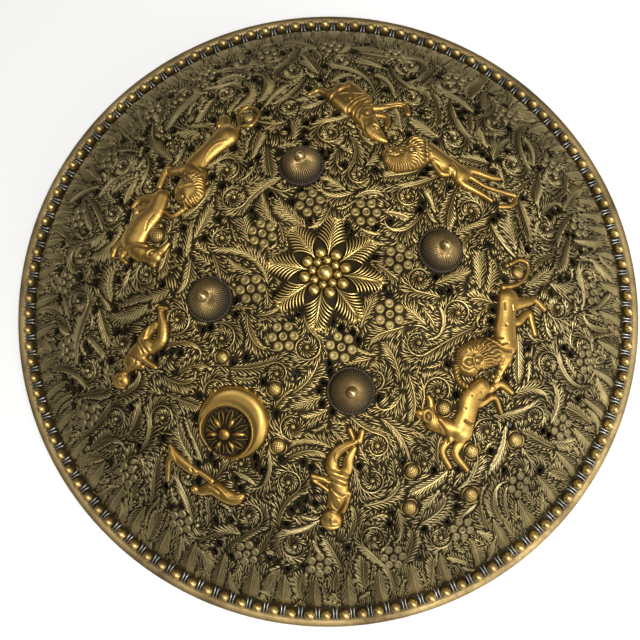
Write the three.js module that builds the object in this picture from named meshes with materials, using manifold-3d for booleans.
// Round convex shield of cast and chased brass, lying on its rim with the dome up.
// Millimetres, +Z up. The origin is on the rest plane, under the middle of the dome.

import * as THREE from 'three';
import { mergeVertices } from 'three/addons/utils/BufferGeometryUtils.js';
import Module from 'manifold-3d';

// ---------------------------------------------------------------- driving dimensions

const GAP = 0.35; // clearance between touching pieces

// Rim, bead channel and dome. The dome is half an ellipse that ends at its foot.
const RIM_RADIUS = 200;
const RIM_THICKNESS = 3.2;
const RIM_ROUNDING = 1;
const RIM_LIP_WIDTH = 4;
const CHANNEL_DEPTH = 0.9;
const CHANNEL_BANK = 0.6; // width of the slope up to the lip
const FOOT_RADIUS = 187;
const FOOT_Z = 4;
const DOME_HALF_WIDTH = 195;
const DOME_HALF_HEIGHT = 90.7;
const WALL = 2.6;

const BEAD_COUNT = 116;
const BEAD_RING_RADIUS = 192;
const BEAD_RADIUS = 3.5;
const BEAD_HEIGHT = 3;
const BEAD_WAIST = 0.9; // height of its widest part

// Bosses, measured in a frame whose axis is the dome's normal.
const BOSS_COUNT = 4;
const BOSS_RING_RADIUS = 64.5;
const FIRST_BOSS_ANGLE = 12;
const BOSS_RADIUS = 13;
const BOSS_COLLAR_WIDTH = 1.2;
const BOSS_COLLAR_HEIGHT = 1.2;
const BOSS_SWELL = [[0.7, 0.52], [0.45, 0.82]]; // [radius, height] as shares of the boss's own
const BOSS_HEIGHT = 8.6;
const BOSS_TOP_RADIUS = 3;
const BOSS_FLUTES = 7;
const FLUTE_DEPTH = 0.05; // of the radius

const RIVET_HEAD_RADIUS = 2.5;
const ROUNDING = 0.7; // share of a radius at which a faceted ball turns over
const RIVET_SHANK_RADIUS = 1.8;
const RIVET_TAIL_RADIUS = 4;
const RIVET_TAIL_THICKNESS = 1.4;
const RIVET_TAIL_ROUNDING = 0.5;
const TAIL_CLEARANCE = 0.65; // more than GAP, because the dish's inside is faceted

// Ornament on the crown of the dome.
const ROSETTE_LEAVES = 8;
const ROSETTE_FIRST_LEAF_ANGLE = 35;
const ROSETTE_REACH = 31;
const ROSETTE_LEAF_WIDTHS = [[10, 3], [18, 6.2], [25, 5], [ROSETTE_REACH, 1.4]]; // [reach, half width]
const ROSETTE_LEAF_RISE = 0.45;
const ROSETTE_BALL_RING_RADIUS = 10.4;
const ROSETTE_BALL_RADIUS = 2.9;
const ROSETTE_BALL_HEIGHT = 3.5;
const ROSETTE_KNOB_RADIUS = 4.2;
const ROSETTE_KNOB_HEIGHT = 4.4;

const INNER_FLOWERS = 8;
const INNER_FLOWER_RING_RADIUS = 41;
const INNER_FLOWER_RADIUS = 7;
const INNER_FLOWER_HEIGHT = 2.2;
const FLOWER_PETALS = 6;
const PETAL_SCALLOP = 0.12; // of the flower's radius

// Crescent: the crown between an outer circle and a smaller one set off towards the rim.
const MOON_CENTRE = [-49.6, -79.8];
const MOON_RADIUS = 19.5;
const MOON_HOLLOW_CENTRE = [-53.3, -84.7];
const MOON_HOLLOW_RADIUS = 13.3;
const MOON_HEIGHT = 5;
const SUN_CENTRE = [-54.7, -86.1];
const SUN_DISC_RADIUS = 3.2;
const SUN_DISC_HEIGHT = 2.4;
const SUN_PETALS = 8;
const SUN_FIRST_PETAL_ANGLE = 5;
const SUN_PETAL_WIDTHS = [[3, 0.8], [7, 1.7], [10.5, 0.6]]; // [reach, half width]

// How far relief is sunk into the dome, so that it joins it all over its foot.
const SINK = 1.2;

// Mesh fineness.
const ROUND_SEGMENTS = 48;
const DOME_RINGS = 7;
const INSIDE_RINGS = 5;
const LIMB_SIDES = 4;
const LIMB_RINGS = 4;
const BEAD_SIDES = 5;
const BUTTON_SIDES = 6;
const BUTTON_RINGS = 3;
const MOON_SECTIONS = 24;
const MOON_SIDES = 4;

// ---------------------------------------------------------------- the figures

// Each limb is a row of [x, y, half width] in plan; each ball is [x, y, radius].
// rise is the height of the relief over its half width.
const FIGURES = [
  { // lion by the left of the upper rim, looking down and out
    rise: 0.9,
    limbs: [
      [[-57, 88, 6.5], [-66, 78, 7], [-75, 67, 6.5], [-78, 56, 7]],
      [[-59, 90, 3.5], [-60, 98, 2.2], [-64, 93, 1.5]],
      [[-84, 62, 3], [-92, 67, 2], [-97, 56, 1.5]],
    ],
    balls: [[-77, 50.5, 9.5]],
  },
  { // deer below it, head turned back
    rise: 0.85,
    limbs: [
      [[-95, 49, 4.5], [-98.5, 39, 6.2], [-105, 32, 7.5], [-110, 24, 7.8], [-106, 17, 5.5], [-97, 13, 4.6]],
      [[-113, 20, 2.4], [-118, 14, 1.8], [-114, 10, 1.2]],
      [[-101, 48, 3], [-108, 49, 2], [-113, 44, 1.3]],
    ],
    balls: [],
  },
  { // draped beast at the top, its fore leg reaching out
    rise: 0.42,
    limbs: [
      [[8, 119, 9.5], [14.5, 111, 10.5], [21, 102, 9], [27, 88, 6], [34.5, 79.5, 1.6]],
      [[29, 103, 2.4], [47, 106, 2], [48.5, 99, 1.6]],
    ],
    balls: [],
  },
  { // lion facing the draped beast
    rise: 0.85,
    limbs: [
      [[48, 71, 7], [58, 75, 6.6], [68, 69, 5.2], [80, 60, 5.5]],
      [[57, 82, 2.6], [68, 90, 2], [74, 89, 1.3]],
      [[80, 54, 2.4], [88, 49, 1.9], [95, 45, 1.2]],
    ],
    balls: [[40.5, 67, 8]],
  },
  { // lion at the right, walking down the dome
    rise: 0.9,
    limbs: [
      [[101.5, -10, 5.8], [100, -22, 5.8], [99, -31, 6.6], [98, -40, 6.6], [88, -44, 6.2]],
      [[105, -14.5, 4], [115, -12.5, 2.4], [118, -11.5, 1.8], [123.5, -17, 1.5]],
      [[106, -25, 2.4], [113.5, -19, 1.8], [117, -31, 1.4]],
      [[100, -43, 2.8], [95.5, -52, 2.2], [93, -58, 1.6]],
      [[70.5, -50, 1.7], [72, -57, 1.6], [76, -60.5, 1.5]],
    ],
    balls: [[77.5, -47, 7.8]],
  },
  { // deer below the right lion, head turned back
    rise: 0.85,
    limbs: [
      [[86, -59, 3.8], [79, -67, 6.2], [76.5, -75, 5.8], [72, -84, 6.8], [63, -81.5, 5], [55.5, -76, 5]],
      [[55, -76, 3.4], [56.5, -68, 1.8]],
      [[65, -90, 2.2], [63, -96, 1.9], [67.5, -103.5, 1.5]],
      [[72, -90, 2.8], [70.5, -97, 2], [77, -105, 1.5]],
      [[88, -62, 2.4], [96, -59, 2], [102.5, -63.5, 1.5]],
    ],
    balls: [],
  },
  { // running man at the left, head towards the rim
    rise: 0.8,
    limbs: [
      [[-91, -18, 1.7], [-90, -27, 3], [-92, -35, 3.6]],
      [[-93, -25, 2], [-99, -31, 3], [-103, -36, 3.4]],
      [[-97, -37, 5.6], [-103, -44, 6], [-109, -50, 5]],
      [[-107, -40, 1.8], [-100, -46, 1.8], [-93.5, -50, 1.4]],
    ],
    balls: [[-115.2, -56.5, 5.2]],
  },
  { // running man at the bottom, head towards the rim
    rise: 0.8,
    limbs: [
      [[18, -89, 1.5], [9.5, -93, 2.8], [4.5, -98, 3.3], [4, -104, 3.6]],
      [[16, -92, 1.5], [12.5, -98, 2.8], [11.5, -104, 3.2]],
      [[8, -104, 7], [7, -112, 6.6], [6.5, -120, 5.6]],
      [[12.5, -117.5, 1.8], [1.5, -111, 1.8], [-7, -108, 1.4]],
    ],
    balls: [[3, -132, 5.8]],
  },
  { // two hares running below the crescent
    rise: 0.8,
    limbs: [
      [[-86, -92, 1.2], [-83.5, -97.5, 3], [-77, -103, 3], [-71.5, -107, 2.6], [-63, -111, 1.6]],
      [[-72, -116, 2.4], [-61.5, -115.5, 4], [-56, -119, 3.8], [-50, -121, 3.2], [-45, -119, 1.5]],
    ],
    balls: [],
  },
];

// ---------------------------------------------------------------- solids

const wasm = await Module();
wasm.setup();

/** Leave only position on a geometry and merge the vertices that its faces share. */
function welded(geometry) {
  const bare = geometry.clone();
  bare.deleteAttribute('normal');
  bare.deleteAttribute('uv');
  return mergeVertices(bare);
}

/** Six times the signed volume of a closed indexed geometry. */
function signedVolume(geometry) {
  const index = geometry.index;
  const position = geometry.attributes.position;
  const corners = [new THREE.Vector3(), new THREE.Vector3(), new THREE.Vector3()];
  let volume = 0;
  for (let i = 0; i < index.count; i += 3) {
    corners.forEach((corner, k) => corner.fromBufferAttribute(position, index.getX(i + k)));
    volume += corners[0].dot(corners[1].cross(corners[2]));
  }
  return volume;
}

/** Turn a closed indexed geometry's faces outward and make a Manifold of it. */
function toSolid(geometry) {
  const triVerts = Uint32Array.from(geometry.index.array);
  if (signedVolume(geometry) < 0) {
    for (let i = 0; i < triVerts.length; i += 3) {
      [triVerts[i], triVerts[i + 1]] = [triVerts[i + 1], triVerts[i]];
    }
  }
  const vertProperties = Float32Array.from(geometry.attributes.position.array);
  return new wasm.Manifold(new wasm.Mesh({ numProp: 3, vertProperties, triVerts }));
}

/** Bend a unit shape: place() gives each vertex its new position. */
function bentSolid(shape, place) {
  const geometry = welded(shape);
  const position = geometry.attributes.position;
  const vertex = new THREE.Vector3();
  for (let i = 0; i < position.count; i += 1) {
    vertex.fromBufferAttribute(position, i);
    position.setXYZ(i, ...place(vertex));
  }
  return toSolid(geometry);
}

/** The vertices and triangles of a Manifold as a flat-shaded geometry. */
function toGeometry(solid) {
  const { vertProperties, triVerts } = solid.getMesh();
  const geometry = new THREE.BufferGeometry();
  geometry.setAttribute('position', new THREE.BufferAttribute(vertProperties, 3));
  geometry.setIndex(new THREE.BufferAttribute(triVerts, 1));
  geometry.computeVertexNormals();
  return geometry;
}

/** A LatheGeometry turned so that its axis is +Z. */
function turned(profile, segments) {
  const points = profile.map(([radius, z]) => new THREE.Vector2(radius, z));
  return new THREE.LatheGeometry(points, segments).rotateX(Math.PI / 2);
}

// ---------------------------------------------------------------- the dome's surface

const domeCentreZ = FOOT_Z - DOME_HALF_HEIGHT * Math.sqrt(1 - (FOOT_RADIUS / DOME_HALF_WIDTH) ** 2);

/** Height of the dome at a radius, on its outside or a wall's thickness further in. */
function domeZ(radius, inset = 0) {
  const across = radius / (DOME_HALF_WIDTH - inset);
  return domeCentreZ + (DOME_HALF_HEIGHT - inset) * Math.sqrt(1 - across * across);
}

/** Outward normal of the dome's outside at a place in plan. */
function domeNormal(x, y) {
  const up = (domeZ(Math.hypot(x, y)) - domeCentreZ) / DOME_HALF_HEIGHT ** 2;
  return new THREE.Vector3(x / DOME_HALF_WIDTH ** 2, y / DOME_HALF_WIDTH ** 2, up).normalize();
}

/** The point over a place in plan, lifted off the dome along its normal. */
function onDome(x, y, lift) {
  const point = new THREE.Vector3(x, y, domeZ(Math.hypot(x, y)));
  return point.addScaledVector(domeNormal(x, y), lift);
}

/** Lift of a relief's skin: a crown above the dome and a flat foot sunk into it. */
function reliefLift(up, height) {
  return up > 0 ? up * height : up * SINK;
}

function polar(radius, degrees) {
  const angle = THREE.MathUtils.degToRad(degrees);
  return [radius * Math.cos(angle), radius * Math.sin(angle)];
}

// ---------------------------------------------------------------- relief shapes

/** A rounded limb that follows a smooth line through [x, y, half width] points. */
function limb(points, rise) {
  const line = new THREE.CatmullRomCurve3(points.map((point) => new THREE.Vector3(...point)));
  const rings = Math.max(points.length, LIMB_RINGS);
  return bentSolid(new THREE.SphereGeometry(1, LIMB_SIDES, rings), ({ x, y, z }) => {
    const along = Math.acos(THREE.MathUtils.clamp(y, -1, 1)) / Math.PI;
    const ringRadius = Math.max(Math.hypot(x, z), Number.EPSILON);
    const fullness = Math.sqrt(Math.sin(along * Math.PI));
    const centre = line.getPoint(along);
    const heading = line.getTangent(along).setZ(0).normalize();
    const side = (z / ringRadius) * centre.z * fullness;
    const lift = reliefLift(x / ringRadius, centre.z * rise) * fullness;
    return onDome(centre.x - heading.y * side, centre.y + heading.x * side, lift);
  });
}

/** A round button; petals scallop its outline. */
function button(x, y, radius, height, petals = 0) {
  const sides = petals > 0 ? petals * 2 : BUTTON_SIDES;
  return bentSolid(new THREE.SphereGeometry(1, sides, BUTTON_RINGS), (v) => {
    const scallop = petals > 0 ? 1 + PETAL_SCALLOP * Math.cos(petals * Math.atan2(v.z, v.x)) : 1;
    return onDome(x + v.x * radius * scallop, y + v.z * radius * scallop, reliefLift(v.y, height));
  });
}

/** The crescent, full where its two circles are far apart and thin where they near. */
function crescent() {
  const outerCentre = new THREE.Vector2(...MOON_CENTRE);
  const innerCentre = new THREE.Vector2(...MOON_HOLLOW_CENTRE);
  const fullBreadth = MOON_RADIUS - MOON_HOLLOW_RADIUS + outerCentre.distanceTo(innerCentre);
  const tubeRing = 2;
  const tube = new THREE.TorusGeometry(tubeRing, 1, MOON_SIDES, MOON_SECTIONS);
  return bentSolid(tube, ({ x, y, z }) => {
    const ray = new THREE.Vector2(x, y).normalize();
    const outer = ray.clone().multiplyScalar(MOON_RADIUS).add(outerCentre);
    const inner = ray.clone().multiplyScalar(MOON_HOLLOW_RADIUS).add(innerCentre);
    const height = MOON_HEIGHT * Math.sqrt(outer.distanceTo(inner) / fullBreadth);
    const place = inner.lerp(outer, (Math.hypot(x, y) - tubeRing + 1) / 2);
    return onDome(place.x, place.y, reliefLift(z, height));
  });
}

/** The flower inside the crescent. */
function sunFlower() {
  const [x, y] = SUN_CENTRE;
  const parts = [button(x, y, SUN_DISC_RADIUS, SUN_DISC_HEIGHT)];
  for (let i = 0; i < SUN_PETALS; i += 1) {
    const [dx, dy] = polar(1, SUN_FIRST_PETAL_ANGLE + (360 / SUN_PETALS) * i);
    parts.push(limb(SUN_PETAL_WIDTHS.map(([reach, width]) => [x + dx * reach, y + dy * reach, width]), 1));
  }
  return parts;
}

/** Eight leaves round a knob and a ring of balls. */
function rosette() {
  const parts = [button(0, 0, ROSETTE_KNOB_RADIUS, ROSETTE_KNOB_HEIGHT)];
  const step = 360 / ROSETTE_LEAVES;
  for (let i = 0; i < ROSETTE_LEAVES; i += 1) {
    const angle = ROSETTE_FIRST_LEAF_ANGLE + step * i;
    const leaf = ROSETTE_LEAF_WIDTHS.map(([reach, width]) => [...polar(reach, angle), width]);
    parts.push(limb(leaf, ROSETTE_LEAF_RISE));
    const ball = polar(ROSETTE_BALL_RING_RADIUS, angle + step / 2);
    parts.push(button(...ball, ROSETTE_BALL_RADIUS, ROSETTE_BALL_HEIGHT));
  }
  return parts;
}

function innerFlowers() {
  return Array.from({ length: INNER_FLOWERS }, (_, i) => {
    const place = polar(INNER_FLOWER_RING_RADIUS, FIRST_BOSS_ANGLE + (360 / INNER_FLOWERS) * i);
    return button(...place, INNER_FLOWER_RADIUS, INNER_FLOWER_HEIGHT, FLOWER_PETALS);
  });
}

function figureSolids() {
  return FIGURES.flatMap(({ limbs, balls, rise }) => [
    ...limbs.map((points) => limb(points, rise)),
    ...balls.map(([x, y, radius]) => button(x, y, radius, radius * rise)),
  ]);
}

function beadRow() {
  const bead = turned(
    [[0, -CHANNEL_DEPTH * 2], [BEAD_RADIUS, BEAD_WAIST], [0, BEAD_HEIGHT]],
    BEAD_SIDES,
  );
  return Array.from({ length: BEAD_COUNT }, (_, i) => {
    const [x, y] = polar(BEAD_RING_RADIUS, (360 / BEAD_COUNT) * i);
    return toSolid(welded(bead.clone().translate(x, y, RIM_THICKNESS)));
  });
}

// ---------------------------------------------------------------- the pieces

/** Section of the dish: over the dome, down into the bead channel, round the rim and back inside. */
function dishProfile() {
  const channelZ = RIM_THICKNESS - CHANNEL_DEPTH;
  const lipRadius = RIM_RADIUS - RIM_LIP_WIDTH;
  const outside = [];
  for (let i = 0; i <= DOME_RINGS; i += 1) {
    const radius = FOOT_RADIUS * Math.sin((Math.PI / 2) * (i / DOME_RINGS));
    outside.push([radius, domeZ(radius)]);
  }
  const rim = [
    [FOOT_RADIUS + 1, channelZ],
    [lipRadius - CHANNEL_BANK, channelZ],
    [lipRadius, RIM_THICKNESS],
    [RIM_RADIUS - RIM_ROUNDING, RIM_THICKNESS],
    [RIM_RADIUS, RIM_THICKNESS / 2],
    [RIM_RADIUS - RIM_ROUNDING, 0],
  ];
  const innerFoot = (DOME_HALF_WIDTH - WALL)
    * Math.sqrt(1 - (domeCentreZ / (DOME_HALF_HEIGHT - WALL)) ** 2);
  const inside = [];
  for (let i = INSIDE_RINGS; i >= 0; i -= 1) {
    const radius = innerFoot * Math.sin((Math.PI / 2) * (i / INSIDE_RINGS));
    inside.push([radius, domeZ(radius, WALL)]);
  }
  inside[0][1] = 0;
  return [...outside, ...rim, ...inside];
}

/** Section of a boss with its rivet hole: a collar, a steep swelling side and a small flat top. */
function bossProfile() {
  const hole = RIVET_SHANK_RADIUS + GAP;
  const profile = [
    [hole, GAP],
    [BOSS_RADIUS - BOSS_COLLAR_WIDTH, GAP],
    [BOSS_RADIUS, GAP + BOSS_COLLAR_HEIGHT / 2],
    [BOSS_RADIUS - BOSS_COLLAR_WIDTH, GAP + BOSS_COLLAR_HEIGHT],
  ];
  for (const [radius, height] of BOSS_SWELL) {
    profile.push([BOSS_RADIUS * radius, BOSS_HEIGHT * height]);
  }
  profile.push([BOSS_TOP_RADIUS, BOSS_HEIGHT], [hole, BOSS_HEIGHT], [hole, GAP]);
  return profile;
}

/** A boss; every second segment of its side is drawn in, which flutes it. */
function boss() {
  const segments = BOSS_FLUTES * 2;
  const step = (2 * Math.PI) / segments;
  return bentSolid(turned(bossProfile(), segments), ({ x, y, z }) => {
    const radius = Math.hypot(x, y);
    const odd = Math.round(Math.atan2(y, x) / step) % 2 !== 0;
    const onSide = radius > BOSS_TOP_RADIUS + GAP && z > GAP + BOSS_COLLAR_HEIGHT / 2;
    const factor = odd && onSide ? 1 - FLUTE_DEPTH : 1;
    return [x * factor, y * factor, z];
  });
}

/** Section of a rivet, from its clenched tail inside the dish to its round head. */
function rivetProfile() {
  const tailTop = -WALL - TAIL_CLEARANCE;
  const headFoot = BOSS_HEIGHT + GAP;
  const headCentre = headFoot + RIVET_HEAD_RADIUS * ROUNDING;
  return [
    [0, tailTop - RIVET_TAIL_THICKNESS],
    [RIVET_TAIL_RADIUS - RIVET_TAIL_ROUNDING, tailTop - RIVET_TAIL_THICKNESS],
    [RIVET_TAIL_RADIUS, tailTop],
    [RIVET_SHANK_RADIUS, tailTop],
    [RIVET_SHANK_RADIUS, headFoot],
    [RIVET_HEAD_RADIUS * ROUNDING, headFoot],
    [RIVET_HEAD_RADIUS, headCentre],
    [RIVET_HEAD_RADIUS * ROUNDING, headCentre + RIVET_HEAD_RADIUS * ROUNDING],
    [0, headCentre + RIVET_HEAD_RADIUS],
  ];
}

/** A frame on the dome, its Z along the normal, where boss number i sits. */
function bossSeat(i) {
  const [x, y] = polar(BOSS_RING_RADIUS, FIRST_BOSS_ANGLE + (360 / BOSS_COUNT) * i);
  const seat = new THREE.Group();
  seat.position.copy(onDome(x, y, 0));
  seat.quaternion.setFromUnitVectors(new THREE.Vector3(0, 0, 1), domeNormal(x, y));
  return seat;
}

/** The hole that boss number i's rivet passes through. */
function rivetHole(seat) {
  const radius = RIVET_SHANK_RADIUS + GAP;
  const length = WALL * 4;
  const drill = new THREE.CylinderGeometry(radius, radius, length, BUTTON_SIDES);
  drill.rotateX(Math.PI / 2);
  seat.updateMatrix();
  return toSolid(welded(drill.applyMatrix4(seat.matrix)));
}

function dish(seats) {
  const shell = toSolid(welded(turned(dishProfile(), ROUND_SEGMENTS)));
  const relief = [
    ...beadRow(),
    ...rosette(),
    ...innerFlowers(),
    ...figureSolids(),
    crescent(),
    ...sunFlower(),
  ];
  const body = wasm.Manifold.union([shell, ...relief]);
  return wasm.Manifold.difference([body, ...seats.map(rivetHole)]);
}

// ---------------------------------------------------------------- materials and assembly

const dishBrass = new THREE.MeshStandardMaterial({ color: 0x7a6136, roughness: 0.45, metalness: 1 });
const bossBrass = new THREE.MeshStandardMaterial({ color: 0x5b4727, roughness: 0.5, metalness: 1 });
const rivetBrass = new THREE.MeshStandardMaterial({ color: 0xb58f47, roughness: 0.3, metalness: 1 });

function named(name, solid, material) {
  const mesh = new THREE.Mesh(toGeometry(solid), material);
  mesh.name = name;
  return mesh;
}

const shield = new THREE.Group();
const seats = Array.from({ length: BOSS_COUNT }, (_, i) => bossSeat(i));
shield.add(named('shield_dish', dish(seats), dishBrass));
seats.forEach((seat, i) => {
  const rivet = toSolid(welded(turned(rivetProfile(), BUTTON_SIDES)));
  seat.add(named(`boss_${i + 1}`, boss(), bossBrass));
  seat.add(named(`boss_rivet_${i + 1}`, rivet, rivetBrass));
  shield.add(seat);
});

export default shield;
